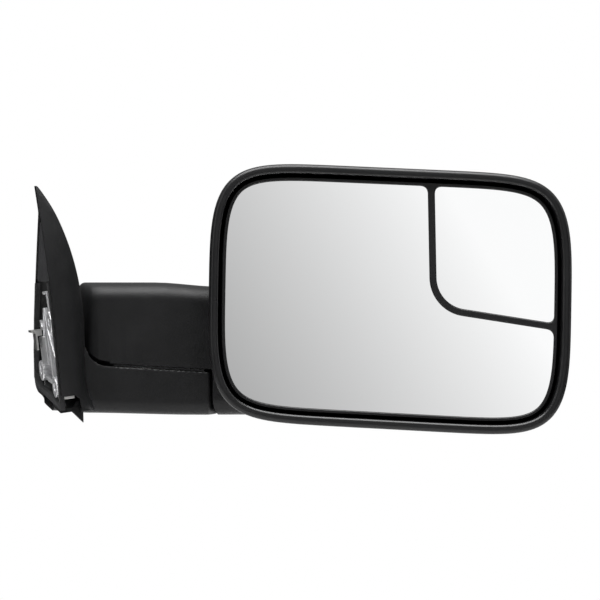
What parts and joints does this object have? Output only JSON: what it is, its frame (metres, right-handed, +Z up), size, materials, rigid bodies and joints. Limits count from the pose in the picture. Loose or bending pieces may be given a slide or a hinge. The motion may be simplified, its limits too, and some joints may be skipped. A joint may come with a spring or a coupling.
{
  "type": "towing mirror",
  "caption": "Right-hand door towing mirror: sail mount, folding arm, head that turns upright, tilting glass with a wide-angle corner.",
  "frame": {"origin": "centre of the casting's flat pad on the door plane, at the height of the arm's centre", "axes": "+X away from the door, +Y to the front of the vehicle, +Z up"},
  "size_m": [0.394, 0.2244, 0.2036],
  "materials": {
    "textured_plastic": "fine grain, satin black",
    "bezel_plastic": "smooth satin black",
    "inner_plastic": "moulded black",
    "cast_aluminium": "as cast, matt",
    "zinc_steel": "zinc plated",
    "spring_steel": "oiled",
    "mirror_glass": "silvered",
    "foam_rubber": "matt foam",
    "acetal": "natural white"
  },
  "bodies": {
    "base": {"base_bracket": "cast_aluminium", "fold_detent_ring": "zinc_steel", "fold_nut": "zinc_steel", "fold_post": "zinc_steel", "fold_seal": "foam_rubber", "fold_washer": "zinc_steel", "locating_hook": "zinc_steel", "lower_bumper": "acetal", "sail_cover": "textured_plastic", "sail_gasket": "foam_rubber", "sail_screw_1": "zinc_steel", "sail_screw_2": "zinc_steel", "sail_screw_3": "zinc_steel"},
    "arm": {"arm_frame": "cast_aluminium", "arm_front_cover": "textured_plastic", "arm_rear_cover": "textured_plastic", "arm_screw_1": "zinc_steel", "arm_screw_2": "zinc_steel", "arm_screw_3": "zinc_steel", "arm_screw_4": "zinc_steel", "flip_detent_ring": "zinc_steel", "flip_nut": "zinc_steel", "flip_seal": "foam_rubber", "flip_shaft": "zinc_steel", "flip_spring": "spring_steel", "flip_washer": "zinc_steel", "fold_bush": "acetal", "fold_detent_cam": "zinc_steel", "fold_spring": "spring_steel"},
    "head": {"adjuster_base": "inner_plastic", "adjuster_screw_1": "zinc_steel", "adjuster_screw_2": "zinc_steel", "adjuster_screw_3": "zinc_steel", "adjuster_screw_4": "zinc_steel", "flip_bush": "acetal", "flip_detent_cam": "zinc_steel", "head_bezel": "bezel_plastic", "head_frame": "inner_plastic", "head_housing": "textured_plastic", "housing_screw_1": "zinc_steel", "housing_screw_2": "zinc_steel", "housing_screw_3": "zinc_steel", "housing_screw_4": "zinc_steel"},
    "gimbal": {"gimbal_ring": "zinc_steel"},
    "glass": {"carrier_hub": "inner_plastic", "glass_carrier": "bezel_plastic", "main_glass": "mirror_glass", "main_glass_pad": "foam_rubber", "spotter_glass": "mirror_glass", "spotter_glass_pad": "foam_rubber"}
  },
  "joints": [
    {"name": "arm_fold", "type": "hinge", "parent": "base", "child": "arm", "pos_m": [0.078, 0, 0], "axis": [0, 0, 1], "range_deg": [-40, 0], "deforming": ["fold_seal"]},
    {"name": "head_flip", "type": "hinge", "parent": "arm", "child": "head", "pos_m": [0.21416, -0.06166, 0], "axis": [-0.2079, -0.9781, 0], "range_deg": [0, 90]},
    {"name": "glass_tilt", "type": "hinge", "parent": "head", "child": "gimbal", "pos_m": [0.24423, -0.11303, 0.0405], "axis": [0.9781, -0.2079, 0], "range_deg": [-6.5, 6.5]},
    {"name": "glass_pan", "type": "hinge", "parent": "gimbal", "child": "glass", "pos_m": [0.24423, -0.11303, 0.0405], "axis": [0, 0, 1], "range_deg": [-6.5, 6.5]}
  ]
}
